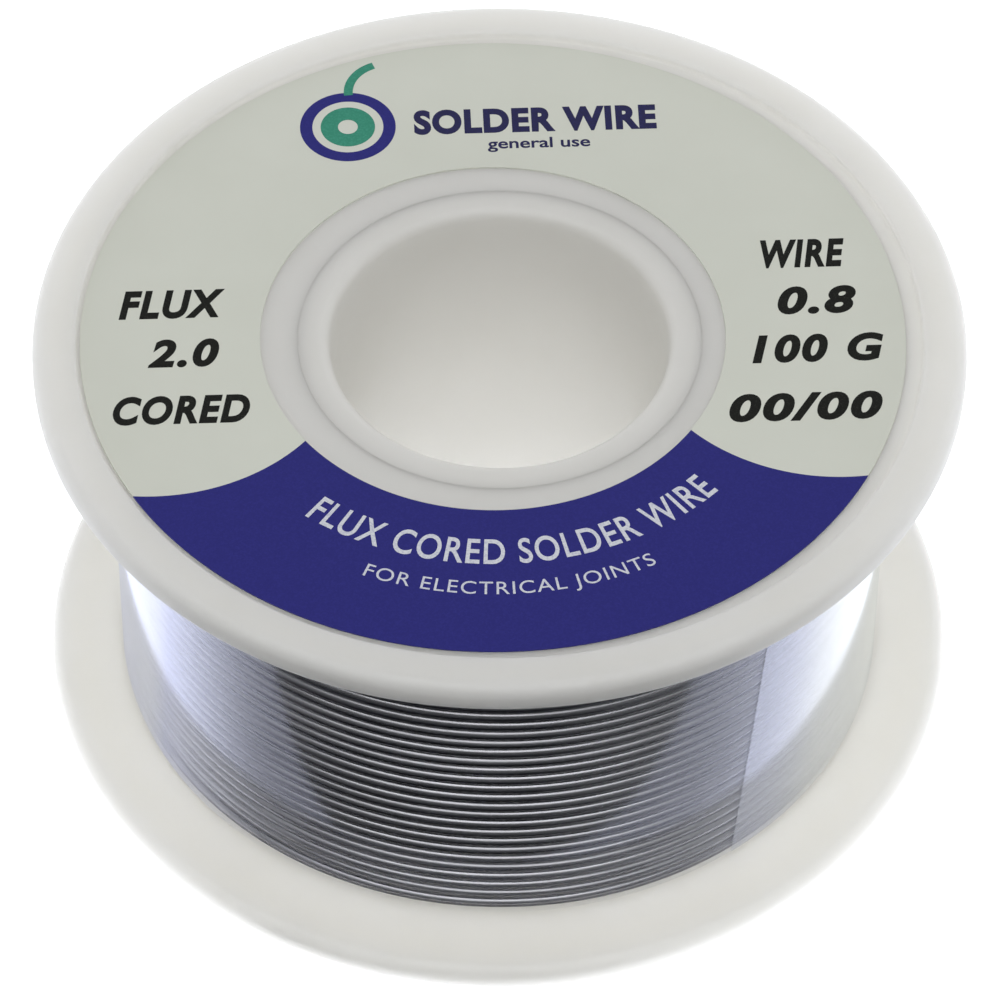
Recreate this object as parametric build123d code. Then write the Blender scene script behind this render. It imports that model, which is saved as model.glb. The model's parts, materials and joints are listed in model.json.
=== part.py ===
from build123d import *
import math
import os

# Solder wire spool: a hollow barrel with a flange pressed on each end, full of
# flux-cored solder wire, with a printed ring label and a clear film wrap.
#
# Millimetres.  The origin is the bottom centre, on the axis of the bore.
# +Z runs up along the axis, and -Y is the side where the label is read from.

# ---- spool, overall ----
flange_d = 55.0          # outside diameter of both flanges
overall_h = 28.0         # from the lower rim's face to the upper rim's face
bore_d = 20.0            # bore for the spindle of a dispenser

# ---- flange ----
flange_t = 2.0           # thickness at the rim
rim_w = 2.6              # width of the raised rim
recess_depth = 0.45      # how far the outer face lies below the rim
edge_round = 0.75        # rounding of the flange's outside edges
rim_round = 0.35         # rounding of the rim's inner edge
recess_round = 0.2       # fillet at the foot of the rim
seat_gap = 0.02          # radial gap between the flange's hole and the tube
spigot_t = 1.4           # wall of the ring that centres the flange in the drum
spigot_h = 2.6           # depth of that ring
spigot_gap = 0.05        # radial gap between the ring and the drum

# ---- barrel ----
tube_wall = 1.9          # wall of the bore tube
mouth_round = 0.65       # rounding of the bore's edges
seam_chamfer = 0.1       # chamfer that draws the seam round the tube's end
drum_d = 36.4            # outside diameter that the wire is wound on
drum_wall = 1.4
rib_count = 6            # webs between the tube and the drum
rib_t = 1.2
rib_gap = 0.4            # from the end of a web to the flange's spigot
fuse = 0.3               # how far a web runs into the walls that it joins

# ---- wire and winding ----
wire_d = 0.8
flux_d = 0.31            # flux core, about 2 % of the wire's mass
lay_slack = 0.03         # spacing of the turns beyond touching, as a share of the wire
layer_count = 7
side_gap = 0.05          # between the winding and each flange
layer_gap = 0.03         # between a layer and what lies against it, on each side
last_turn_arc = 300.0    # degrees of the outermost turn, up to its cut end
last_turn_start = 110.0  # where that arc begins, counted from +X

# ---- start of the wire, bent into the hollow drum ----
anchor_play = 0.4        # between the wire and the hole in the drum's wall
anchor_angle = 90.0      # where the hole lies, counted from +X
anchor_rise = 1.2        # from the spigot's end to the hole's centre
tail_bend = 1.2          # bend radius of the tail's centre line
tail_depth = 3.2         # from the drum's outside to the tail's inner run
tail_run = 4.0           # straight length inside the drum

# ---- label and film ----
label_margin = 0.6       # from the label's edge to the foot of the rim
label_land = 1.8         # bare plastic between the tube and the label
label_t = 0.1
label_shift = (-0.4, 0.07)
film_gap = 0.05          # between the wire's crests and the film
film_t = 0.1
film_edge_gap = 0.25     # between the film's edge and each flange
film_lap_start = -47.0   # the second ply, counted from +X
film_lap_arc = 72.0

# ---- derived ----
flange_r = flange_d / 2
bore_r = bore_d / 2
tube_r = bore_r + tube_wall
hole_r = tube_r + seat_gap
recess_r = flange_r - rim_w
label_r = recess_r - label_margin
label_hole_r = tube_r + label_land
drum_r = drum_d / 2
drum_inner_r = drum_r - drum_wall
spigot_r = drum_inner_r - spigot_gap
drum_h = overall_h - 2 * flange_t
wind_h = drum_h - 2 * side_gap
turns = 1 + math.floor((wind_h - wire_d) / (wire_d * (1 + lay_slack)))
wire_pitch = (wind_h - wire_d) / (turns - 1)
layer_pitch = math.sqrt(wire_d ** 2 - (wire_pitch / 2) ** 2)
wind_r = drum_r + (layer_count - 1) * layer_pitch + wire_d
wind_low = flange_t + side_gap
film_r = wind_r + film_gap
anchor_r = wire_d / 2 + anchor_play
anchor_z = flange_t + spigot_h + anchor_rise


def corner(sketch, x, z):
    """The vertex of a flat sketch that lies nearest to a point."""
    return sketch.vertices().sort_by_distance((x, z, 0))[0]


def turned(sketch, arc=360.0):
    """Revolve a sketch, drawn as radius and height, round the spool's axis."""
    return revolve(Plane.XZ * sketch, Axis.Z, arc)


def ring(inner, outer, low, high):
    """A plain ring round the axis, from one height to another."""
    wall = make_face(Polyline((inner, low), (outer, low), (outer, high), (inner, high), close=True))
    return turned(wall)


def flange():
    """One flange, outer face up, with its inner face at height 0."""
    floor_z = flange_t - recess_depth
    outline = Polyline(
        (hole_r, 0),
        (spigot_r - spigot_t, 0),
        (spigot_r - spigot_t, -spigot_h),
        (spigot_r, -spigot_h),
        (spigot_r, 0),
        (flange_r, 0),
        (flange_r, flange_t),
        (recess_r, flange_t),
        (recess_r, floor_z),
        (hole_r, floor_z),
        close=True,
    )
    section = make_face(outline)
    section = fillet(corner(section, flange_r, 0), edge_round)
    section = fillet(corner(section, flange_r, flange_t), edge_round)
    section = fillet(corner(section, recess_r, flange_t), min(rim_round, recess_depth / 2))
    section = fillet(corner(section, recess_r, floor_z), min(recess_round, recess_depth / 2))
    return turned(section)


def upper_flange():
    """The flange pressed on the barrel's upper end."""
    return Pos(0, 0, overall_h - flange_t) * flange()


def lower_flange():
    """The same moulding, turned over on the lower end."""
    return Pos(0, 0, flange_t) * Rot(180, 0, 0) * flange()


def bore_tube():
    """The full-height tube, with rounded mouths and a chamfer at each seam."""
    low = recess_depth
    high = overall_h - recess_depth
    wall = make_face(Polyline((bore_r, low), (tube_r, low), (tube_r, high), (bore_r, high), close=True))
    for end in (low, high):
        wall = fillet(corner(wall, bore_r, end), mouth_round)
        wall = chamfer(corner(wall, tube_r, end), seam_chamfer)
    return turned(wall)


def rib(angle):
    """One web between the tube and the drum, clear of both spigots."""
    inner = tube_r - fuse
    outer = drum_inner_r + fuse
    height = drum_h - 2 * (spigot_h + rib_gap)
    web = Box(outer - inner, rib_t, height)
    return Rot(0, 0, angle) * Pos((inner + outer) / 2, 0, overall_h / 2) * web


def hub_barrel():
    """Tube, drum and ribs in one moulding, with the hole for the wire's start."""
    body = bore_tube() + ring(drum_inner_r, drum_r, flange_t, flange_t + drum_h)
    for number in range(rib_count):
        body += rib(number * 360 / rib_count)
    drill = Rot(0, 90, 0) * Cylinder(anchor_r, 4 * drum_wall)
    return body - Rot(0, 0, anchor_angle) * Pos(drum_r - drum_wall / 2, 0, anchor_z) * drill


def layer_inner_r(number):
    """Inside radius of a layer; number 1 lies on the drum."""
    return drum_r + (number - 1) * layer_pitch + layer_gap


def inner_layer(number):
    """A layer of closely laid turns, as a sleeve out to the next layer."""
    outer = drum_r + number * layer_pitch - layer_gap
    return ring(layer_inner_r(number), outer, wind_low, wind_low + wind_h)


def turn_z(number):
    """Height of a turn's centre; number 0 is the lowest."""
    return wind_low + wire_d / 2 + number * wire_pitch


def outer_layer():
    """The outermost layer with the ridge of each turn, short of the last turn."""
    centre_r = wind_r - wire_d / 2
    inner = layer_inner_r(layer_count)
    low = turn_z(0)
    high = turn_z(turns - 2)
    body = make_face(Polyline((inner, low), (centre_r, low), (centre_r, high), (inner, high), close=True))
    for number in range(turns - 1):
        body += Pos(centre_r, turn_z(number)) * Circle(wire_d / 2)
    spill = Pos(inner - wire_d / 2, (low + high) / 2) * Rectangle(wire_d, high - low + 2 * wire_d)
    return turned(body - spill)


def last_turn(radius, bored):
    """The arc of the outermost turn, of one radius and with one bore."""
    section = Circle(radius)
    if bored:
        section -= Circle(bored)
    section = Pos(wind_r - wire_d / 2, turn_z(turns - 1)) * section
    return Rot(0, 0, last_turn_start) * turned(section, last_turn_arc)


def tail_path():
    """Centre line of the wire's start: in through the hole, then along the drum."""
    out_x = drum_r - layer_gap
    in_x = drum_r - tail_depth
    line = Polyline((out_x, 0), (in_x, 0), (in_x, tail_bend + tail_run))
    path = fillet(line.vertices().sort_by_distance((in_x, 0, 0))[0], tail_bend)
    return Rot(0, 0, anchor_angle) * Pos(0, 0, anchor_z) * path


def start_tail(radius, bored):
    """The wire's start, of one radius and with one bore."""
    path = tail_path()
    section = Circle(radius)
    if bored:
        section -= Circle(bored)
    return sweep(Plane(origin=path @ 0, z_dir=path % 0) * section, path=path)


def face_label():
    """The printed ring label on the upper flange, laid a little off centre."""
    low = overall_h - recess_depth
    disc = Circle(label_r) - Circle(label_hole_r)
    return Pos(label_shift[0], label_shift[1], low) * extrude(disc, label_t)


def film_wrap():
    """Clear film round the winding, two plies thick where its ends overlap."""
    low = flange_t + film_edge_gap
    high = overall_h - flange_t - film_edge_gap
    lap_r = film_r + film_t
    lap = make_face(Polyline(
        (film_r + film_t / 2, low),
        (lap_r + film_t, low),
        (lap_r + film_t, high),
        (film_r + film_t / 2, high),
        close=True,
    ))
    return ring(film_r, lap_r, low, high) + Rot(0, 0, film_lap_start) * turned(lap, film_lap_arc)


def build_nodes():
    """Every piece of the spool, by name."""
    nodes = {
        "hub_barrel": hub_barrel(),
        "lower_flange": lower_flange(),
        "upper_flange": upper_flange(),
        "face_label": face_label(),
        "film_wrap": film_wrap(),
        "wire_start_tail": start_tail(wire_d / 2, flux_d / 2),
        "flux_core_start": start_tail(flux_d / 2, 0),
        "wire_last_turn": last_turn(wire_d / 2, flux_d / 2),
        "flux_core_end": last_turn(flux_d / 2, 0),
    }
    for number in range(1, layer_count):
        nodes[f"wire_layer_{number}"] = inner_layer(number)
    nodes[f"wire_layer_{layer_count}"] = outer_layer()
    return nodes


os.makedirs("parts", exist_ok=True)
for name, shape in build_nodes().items():
    export_step(shape, f"parts/{name}.step")
print(f"{turns} turns at {wire_pitch:.3f}, layers at {layer_pitch:.3f}, winding radius {wind_r:.2f}")
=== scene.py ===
"""Looks of a solder wire spool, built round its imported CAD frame.

The spool is two pressed-on flanges on a hollow barrel, wound with flux-cored
solder wire, with a printed ring label on top and a clear film round the wire.
Everything is in metres, in the frame's own axes: +Z up the bore, -Y the front.
"""
import json
import logging
import math
from dataclasses import dataclass, field
from enum import Enum
from typing import Callable, Iterable, Optional, Sequence

import bmesh
import bpy
from mathutils import Matrix, Vector

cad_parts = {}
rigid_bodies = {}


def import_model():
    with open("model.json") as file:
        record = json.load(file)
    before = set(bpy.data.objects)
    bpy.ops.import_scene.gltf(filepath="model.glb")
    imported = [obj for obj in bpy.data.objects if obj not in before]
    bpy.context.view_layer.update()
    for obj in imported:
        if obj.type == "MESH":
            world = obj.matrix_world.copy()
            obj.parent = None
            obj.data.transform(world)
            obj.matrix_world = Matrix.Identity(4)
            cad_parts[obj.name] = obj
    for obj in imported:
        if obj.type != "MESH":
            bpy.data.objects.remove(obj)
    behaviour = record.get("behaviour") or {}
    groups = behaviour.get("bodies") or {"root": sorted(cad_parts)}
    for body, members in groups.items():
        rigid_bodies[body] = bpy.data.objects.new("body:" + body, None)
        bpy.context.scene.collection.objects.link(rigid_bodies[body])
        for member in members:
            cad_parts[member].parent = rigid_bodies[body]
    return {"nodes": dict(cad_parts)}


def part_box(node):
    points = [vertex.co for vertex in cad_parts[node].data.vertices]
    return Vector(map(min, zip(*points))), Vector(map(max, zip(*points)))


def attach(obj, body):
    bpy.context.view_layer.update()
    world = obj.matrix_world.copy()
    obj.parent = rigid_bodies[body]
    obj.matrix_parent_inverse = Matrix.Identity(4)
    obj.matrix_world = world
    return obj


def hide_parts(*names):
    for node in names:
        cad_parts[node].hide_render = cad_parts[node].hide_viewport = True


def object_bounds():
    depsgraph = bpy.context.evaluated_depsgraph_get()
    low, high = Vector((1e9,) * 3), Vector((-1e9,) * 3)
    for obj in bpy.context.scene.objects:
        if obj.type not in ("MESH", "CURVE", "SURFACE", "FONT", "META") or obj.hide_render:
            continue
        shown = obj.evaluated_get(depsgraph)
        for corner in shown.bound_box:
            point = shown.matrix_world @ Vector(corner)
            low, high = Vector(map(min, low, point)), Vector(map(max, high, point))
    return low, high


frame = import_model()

CAD_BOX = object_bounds()
LOG = logging.getLogger("solder_spool")
MM = 0.001
ROOT = "root"
TAU = 2 * math.pi
Point2 = tuple[float, float]
Point3 = tuple[float, float, float]

# sockets that share their names with others of the same node
FROM_MIN, FROM_MAX, TO_MIN, TO_MAX = 1, 2, 3, 4      # of a Map Range node
COLOUR_A, COLOUR_B, COLOUR_OUT = 6, 7, 2             # of a Mix node set to colour


# ---------------------------------------------------------------- nodes and colours

def linear(hex_code: str) -> tuple[float, float, float, float]:
    """Turn an sRGB hex colour into linear RGBA.

    Args:
        hex_code: six hex digits with a leading #.

    Returns:
        Linear red, green, blue and an alpha of 1.
    """
    parts = [int(hex_code[i:i + 2], 16) / 255 for i in (1, 3, 5)]
    done = [c / 12.92 if c <= 0.04045 else ((c + 0.055) / 1.055) ** 2.4 for c in parts]
    return (done[0], done[1], done[2], 1.0)


def add(tree: bpy.types.NodeTree, kind: str, inputs: Optional[dict] = None, **settings) -> bpy.types.Node:
    """Add a node with its settings, values and links.

    Args:
        tree: the node tree that gets the node.
        kind: the node's type name.
        inputs: socket name or index to a value, or to the output socket that feeds it.
        settings: attributes of the node itself.

    Returns:
        The new node.
    """
    made = tree.nodes.new(kind)
    for name, value in settings.items():
        setattr(made, name, value)
    for key, value in (inputs or {}).items():
        if isinstance(value, bpy.types.NodeSocket):
            tree.links.new(value, made.inputs[key])
        else:
            made.inputs[key].default_value = value
    return made


def new_material(name: str) -> tuple[bpy.types.Material, bpy.types.NodeTree]:
    """Make an empty node material.

    Args:
        name: the material's name.

    Returns:
        The material and its node tree.
    """
    material = bpy.data.materials.new(name)
    material.use_nodes = True
    material.node_tree.nodes.clear()
    return material, material.node_tree


def per_mm(size_mm: float) -> float:
    """Noise scale, in cycles per metre, of a pattern whose cells are this many mm across."""
    return 1 / (size_mm * MM)


class Slot(Enum):
    """The record's material slots."""
    PLASTIC = "spool_plastic"
    LABEL = "label_print"
    SOLDER = "solder_wire"
    FLUX = "rosin_flux"
    FILM = "clear_film"


# ---------------------------------------------------------------- finishes

@dataclass(frozen=True)
class NaturalPolypropylene:
    """Injection-moulded natural polypropylene: milky, waxy, a soft broad sheen and glowing thin edges."""
    base: str = "#ECEAE4"
    shade: str = "#E6E4DD"
    speck: str = "#6E6A60"
    roughness: float = 0.42
    ior: float = 1.49
    cloud_mm: float = 6.0
    skin_mm: float = 0.25
    speck_mm: float = 2.6
    scuff_mm: float = 1.4
    speck_edge: float = 0.035
    speck_core: float = 0.02
    speck_rarity: float = 0.9
    speck_depth: float = 0.45
    grain_depth_mm: float = 0.02
    glow_mm: float = 3.4
    hub_r_mm: float = 14.5
    disc_r_mm: float = 19.0
    hub_glow: float = 0.45
    disc_glow: float = 1.0

    def build(self) -> bpy.types.Material:
        """Make the moulded plastic material.

        Returns:
            The material, on Object coordinates.
        """
        material, tree = new_material("natural_polypropylene_moulded")
        place = add(tree, "ShaderNodeTexCoord").outputs["Object"]
        cloud = add(tree, "ShaderNodeTexNoise", {
            "Vector": place, "Scale": per_mm(self.cloud_mm), "Detail": 3.0})
        tint = add(tree, "ShaderNodeMix", {
            "Factor": cloud.outputs["Fac"], COLOUR_A: linear(self.base), COLOUR_B: linear(self.shade)},
            data_type="RGBA")
        # a few of the pattern's cells hold a dark speck
        cells = add(tree, "ShaderNodeTexVoronoi", {"Vector": place, "Scale": per_mm(self.speck_mm)})
        dot = add(tree, "ShaderNodeMapRange", {
            "Value": cells.outputs["Distance"], FROM_MIN: self.speck_edge, FROM_MAX: self.speck_core,
            TO_MIN: 0.0, TO_MAX: 1.0})
        rare = add(tree, "ShaderNodeSeparateColor", {0: cells.outputs["Color"]})
        few = add(tree, "ShaderNodeMath", {0: rare.outputs[0], 1: self.speck_rarity},
                  operation="GREATER_THAN")
        spots = add(tree, "ShaderNodeMath", {0: dot.outputs[0], 1: few.outputs[0]}, operation="MULTIPLY")
        faint = add(tree, "ShaderNodeMath", {0: spots.outputs[0], 1: self.speck_depth}, operation="MULTIPLY")
        colour = add(tree, "ShaderNodeMix", {
            "Factor": faint.outputs[0], COLOUR_A: tint.outputs[COLOUR_OUT], COLOUR_B: linear(self.speck)},
            data_type="RGBA")
        rub = add(tree, "ShaderNodeTexNoise", {
            "Vector": place, "Scale": per_mm(self.scuff_mm), "Detail": 6.0, "Distortion": 1.5})
        rough = add(tree, "ShaderNodeMapRange", {
            "Value": rub.outputs["Fac"], FROM_MIN: 0.35, FROM_MAX: 0.75,
            TO_MIN: self.roughness - 0.05, TO_MAX: self.roughness + 0.1})
        skin = add(tree, "ShaderNodeTexNoise", {
            "Vector": place, "Scale": per_mm(self.skin_mm), "Detail": 4.0})
        height = add(tree, "ShaderNodeMath", {0: skin.outputs["Fac"], 1: cloud.outputs["Fac"]},
                     operation="ADD")
        bump = add(tree, "ShaderNodeBump", {
            "Height": height.outputs[0], "Strength": 0.12, "Distance": self.grain_depth_mm * MM})
        # the flange's thin disc glows through, the hub's thick walls far less
        flat = add(tree, "ShaderNodeVectorMath", {0: place, 1: (1.0, 1.0, 0.0)}, operation="MULTIPLY")
        radius = add(tree, "ShaderNodeVectorMath", {0: flat.outputs[0]}, operation="LENGTH")
        glow = add(tree, "ShaderNodeMapRange", {
            "Value": radius.outputs["Value"], FROM_MIN: self.hub_r_mm * MM, FROM_MAX: self.disc_r_mm * MM,
            TO_MIN: self.hub_glow, TO_MAX: self.disc_glow})
        shader = add(tree, "ShaderNodeBsdfPrincipled", {
            "Base Color": colour.outputs[COLOUR_OUT], "Roughness": rough.outputs[0],
            "Normal": bump.outputs[0], "IOR": self.ior, "Subsurface Weight": glow.outputs[0],
            "Subsurface Radius": (1.0, 1.0, 1.0), "Subsurface Scale": self.glow_mm * MM})
        add(tree, "ShaderNodeOutputMaterial", {"Surface": shader.outputs[0]})
        return material


@dataclass(frozen=True)
class CoatedLabelStock:
    """Machine-coated white label paper: flat off-white with a faint fibre mottle and a low even sheen."""
    base: str = "#E2E4D8"
    shade: str = "#DCDED1"
    roughness: float = 0.5
    fibre_mm: float = 0.35
    fibre_depth_mm: float = 0.01
    mottle_mm: float = 4.0
    ior: float = 1.5

    def build(self) -> bpy.types.Material:
        """Make the label paper material.

        Returns:
            The material, on Object coordinates.
        """
        material, tree = new_material("coated_label_paper")
        place = add(tree, "ShaderNodeTexCoord").outputs["Object"]
        mottle = add(tree, "ShaderNodeTexNoise", {
            "Vector": place, "Scale": per_mm(self.mottle_mm), "Detail": 5.0})
        colour = add(tree, "ShaderNodeMix", {
            "Factor": mottle.outputs["Fac"], COLOUR_A: linear(self.base), COLOUR_B: linear(self.shade)},
            data_type="RGBA")
        fibre = add(tree, "ShaderNodeTexNoise", {
            "Vector": place, "Scale": per_mm(self.fibre_mm), "Detail": 6.0})
        rough = add(tree, "ShaderNodeMapRange", {
            "Value": fibre.outputs["Fac"], TO_MIN: self.roughness - 0.06, TO_MAX: self.roughness + 0.06})
        bump = add(tree, "ShaderNodeBump", {
            "Height": fibre.outputs["Fac"], "Strength": 0.1, "Distance": self.fibre_depth_mm * MM})
        shader = add(tree, "ShaderNodeBsdfPrincipled", {
            "Base Color": colour.outputs[COLOUR_OUT], "Roughness": rough.outputs[0],
            "Normal": bump.outputs[0], "IOR": self.ior})
        add(tree, "ShaderNodeOutputMaterial", {"Surface": shader.outputs[0]})
        return material


@dataclass(frozen=True)
class PrintInk:
    """Ink on coated paper: a solid colour with a fine printed grain, a little glossier than the stock.

    A worn ink shows more of its grain, and an ink with a low ior mirrors less.
    """
    name: str
    base: str
    grain: str
    roughness: float = 0.4
    grain_mm: float = 0.12
    worn: float = 0.0
    ior: float = 1.5
    grain_depth_mm: float = 0.005
    grain_from: float = 0.42
    grain_full: float = 0.72

    def build(self) -> bpy.types.Material:
        """Make this ink's material.

        Returns:
            The material, on Object coordinates.
        """
        material, tree = new_material(self.name)
        place = add(tree, "ShaderNodeTexCoord").outputs["Object"]
        grain = add(tree, "ShaderNodeTexNoise", {
            "Vector": place, "Scale": per_mm(self.grain_mm), "Detail": 2.0})
        spread = add(tree, "ShaderNodeMapRange", {
            "Value": grain.outputs["Fac"], FROM_MIN: self.grain_from + self.worn, FROM_MAX: self.grain_full})
        colour = add(tree, "ShaderNodeMix", {
            "Factor": spread.outputs[0], COLOUR_A: linear(self.base), COLOUR_B: linear(self.grain)},
            data_type="RGBA")
        rough = add(tree, "ShaderNodeMapRange", {
            "Value": grain.outputs["Fac"], TO_MIN: self.roughness - 0.05, TO_MAX: self.roughness + 0.08})
        bump = add(tree, "ShaderNodeBump", {
            "Height": grain.outputs["Fac"], "Strength": 0.08, "Distance": self.grain_depth_mm * MM})
        shader = add(tree, "ShaderNodeBsdfPrincipled", {
            "Base Color": colour.outputs[COLOUR_OUT], "Roughness": rough.outputs[0],
            "Normal": bump.outputs[0], "IOR": self.ior})
        add(tree, "ShaderNodeOutputMaterial", {"Surface": shader.outputs[0]})
        return material


@dataclass(frozen=True)
class DrawnSolder:
    """Tin-lead wire drawn through a die: bright grey metal with fine lengthwise lines, a light haze and
    painted shade on each turn's underside.
    """
    bright: str = "#BEBEC2"
    dull: str = "#A6A6AA"
    # colour of the painted shade on each turn's underside
    painted_shade: str = "#464648"
    roughness: float = 0.25
    line_length_mm: float = 14.0
    lines_round_wire: float = 9.0
    line_depth_mm: float = 0.004
    oxide_mm: float = 5.0
    painted_shade_share: float = 0.9
    painted_shade_from: float = 0.4

    def build(self) -> bpy.types.Material:
        """Make the solder alloy material.

        Returns:
            The material, which follows the wire by its along and around attributes.
        """
        material, tree = new_material("tin_lead_solder_drawn")
        along = add(tree, "ShaderNodeAttribute", attribute_name="along").outputs["Fac"]
        around = add(tree, "ShaderNodeAttribute", attribute_name="around").outputs["Fac"]
        run = add(tree, "ShaderNodeMath", {0: along, 1: per_mm(self.line_length_mm)}, operation="MULTIPLY")
        turn = add(tree, "ShaderNodeMath", {0: around, 1: self.lines_round_wire}, operation="MULTIPLY")
        path = add(tree, "ShaderNodeCombineXYZ", {0: run.outputs[0], 1: turn.outputs[0]})
        die = add(tree, "ShaderNodeTexNoise", {"Vector": path.outputs[0], "Scale": 1.0, "Detail": 5.0})
        place = add(tree, "ShaderNodeTexCoord").outputs["Object"]
        oxide = add(tree, "ShaderNodeTexNoise", {
            "Vector": place, "Scale": per_mm(self.oxide_mm), "Detail": 6.0})
        colour = add(tree, "ShaderNodeMix", {
            "Factor": oxide.outputs["Fac"], COLOUR_A: linear(self.bright), COLOUR_B: linear(self.dull)},
            data_type="RGBA")
        # painted shade: each turn's underside, where its normal turns downwards, is darkened towards dark
        # grey
        facing = add(tree, "ShaderNodeSeparateXYZ", {
            0: add(tree, "ShaderNodeNewGeometry").outputs["Normal"]})
        under = add(tree, "ShaderNodeMapRange", {
            "Value": facing.outputs[2], FROM_MIN: self.painted_shade_from, FROM_MAX: 0.0,
            TO_MIN: 0.0, TO_MAX: self.painted_shade_share}, interpolation_type="SMOOTHSTEP")
        skin = add(tree, "ShaderNodeMix", {
            "Factor": under.outputs[0], COLOUR_A: colour.outputs[COLOUR_OUT], COLOUR_B: linear(self.painted_shade)},
            data_type="RGBA")
        rough = add(tree, "ShaderNodeMapRange", {
            "Value": die.outputs["Fac"], FROM_MIN: 0.3, FROM_MAX: 0.7,
            TO_MIN: self.roughness - 0.05, TO_MAX: self.roughness + 0.12})
        bump = add(tree, "ShaderNodeBump", {
            "Height": die.outputs["Fac"], "Strength": 0.02, "Distance": self.line_depth_mm * MM})
        shader = add(tree, "ShaderNodeBsdfPrincipled", {
            "Base Color": skin.outputs[COLOUR_OUT], "Roughness": rough.outputs[0],
            "Normal": bump.outputs[0], "Metallic": 1.0})
        add(tree, "ShaderNodeOutputMaterial", {"Surface": shader.outputs[0]})
        return material


@dataclass(frozen=True)
class RosinFlux:
    """Solid rosin flux: brittle amber resin, glassy where it is freshly cut."""
    base: str = "#C79A4E"
    deep: str = "#A8742C"
    roughness: float = 0.22
    ior: float = 1.54
    cloud_mm: float = 0.2
    chip_depth_mm: float = 0.01
    glow: float = 0.3
    glow_mm: float = 0.2

    def build(self) -> bpy.types.Material:
        """Make the rosin material.

        Returns:
            The material, on Object coordinates.
        """
        material, tree = new_material("rosin_flux_amber")
        place = add(tree, "ShaderNodeTexCoord").outputs["Object"]
        cloud = add(tree, "ShaderNodeTexNoise", {
            "Vector": place, "Scale": per_mm(self.cloud_mm), "Detail": 4.0})
        colour = add(tree, "ShaderNodeMix", {
            "Factor": cloud.outputs["Fac"], COLOUR_A: linear(self.base), COLOUR_B: linear(self.deep)},
            data_type="RGBA")
        bump = add(tree, "ShaderNodeBump", {
            "Height": cloud.outputs["Fac"], "Strength": 0.3, "Distance": self.chip_depth_mm * MM})
        shader = add(tree, "ShaderNodeBsdfPrincipled", {
            "Base Color": colour.outputs[COLOUR_OUT], "Normal": bump.outputs[0],
            "Roughness": self.roughness, "IOR": self.ior,
            "Subsurface Weight": self.glow, "Subsurface Scale": self.glow_mm * MM})
        add(tree, "ShaderNodeOutputMaterial", {"Surface": shader.outputs[0]})
        return material


@dataclass(frozen=True)
class ClearFilm:
    """Cast polypropylene film: clear face on, mirror-like at a glancing angle, milky where it lies loose and
    where sheen is painted on it.
    """
    tint: str = "#E0E4FF"
    gloss: str = "#F6F8F8"
    milk: str = "#FAFCFC"
    roughness: float = 0.12
    face_on: float = 0.012
    milkiness: float = 0.24
    milk_roughness: float = 0.3
    milk_ior: float = 1.49
    faces_tight: float = 0.9
    faces_loose: float = 1.8
    double_from: float = 0.8
    crease_mm: float = 9.0
    crease_depth_mm: float = 0.1

    def build(self) -> bpy.types.Material:
        """Make the film material.

        Returns:
            The material, whose haze attribute says where the film stands off the wire and where sheen is
            painted on it.
        """
        material, tree = new_material("clear_polypropylene_film")
        place = add(tree, "ShaderNodeTexCoord").outputs["Object"]
        haze = add(tree, "ShaderNodeAttribute", attribute_name="haze").outputs["Fac"]
        crease = add(tree, "ShaderNodeTexNoise", {
            "Vector": place, "Scale": per_mm(self.crease_mm), "Detail": 2.0})
        bump = add(tree, "ShaderNodeBump", {
            "Height": crease.outputs["Fac"], "Strength": 0.1, "Distance": self.crease_depth_mm * MM})
        milk = add(tree, "ShaderNodeBsdfPrincipled", {
            "Base Color": linear(self.milk), "Normal": bump.outputs[0], "Roughness": self.milk_roughness,
            "IOR": self.milk_ior})
        clear = add(tree, "ShaderNodeBsdfTransparent")
        cover = add(tree, "ShaderNodeMath", {0: haze, 1: self.milkiness}, operation="MULTIPLY")
        body = add(tree, "ShaderNodeMixShader", {
            0: cover.outputs[0], 1: clear.outputs[0], 2: milk.outputs[0]})
        # Schlick's approximation of how much each face mirrors
        edge = add(tree, "ShaderNodeLayerWeight", {"Blend": 0.5})
        steep = add(tree, "ShaderNodeMath", {0: edge.outputs["Facing"], 1: 5.0}, operation="POWER")
        pass_one = add(tree, "ShaderNodeMapRange", {
            "Value": steep.outputs[0], TO_MIN: 1.0 - self.face_on, TO_MAX: 0.0})
        faces = add(tree, "ShaderNodeMath", {0: haze, 1: self.faces_loose, 2: self.faces_tight},
                    operation="MULTIPLY_ADD")
        passed = add(tree, "ShaderNodeMath", {0: pass_one.outputs[0], 1: faces.outputs[0]}, operation="POWER")
        double = add(tree, "ShaderNodeMapRange", {"Value": haze, FROM_MIN: self.double_from, FROM_MAX: 1.0})
        hue = add(tree, "ShaderNodeMix", {
            "Factor": double.outputs[0], COLOUR_A: linear(self.tint), COLOUR_B: linear(self.gloss)},
            data_type="RGBA")
        gloss = add(tree, "ShaderNodeBsdfGlossy", {
            "Color": hue.outputs[COLOUR_OUT], "Normal": bump.outputs[0], "Roughness": self.roughness})
        mixed = add(tree, "ShaderNodeMixShader", {
            0: passed.outputs[0], 1: gloss.outputs[0], 2: body.outputs[0]})
        add(tree, "ShaderNodeOutputMaterial", {"Surface": mixed.outputs[0]})
        return material


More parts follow.
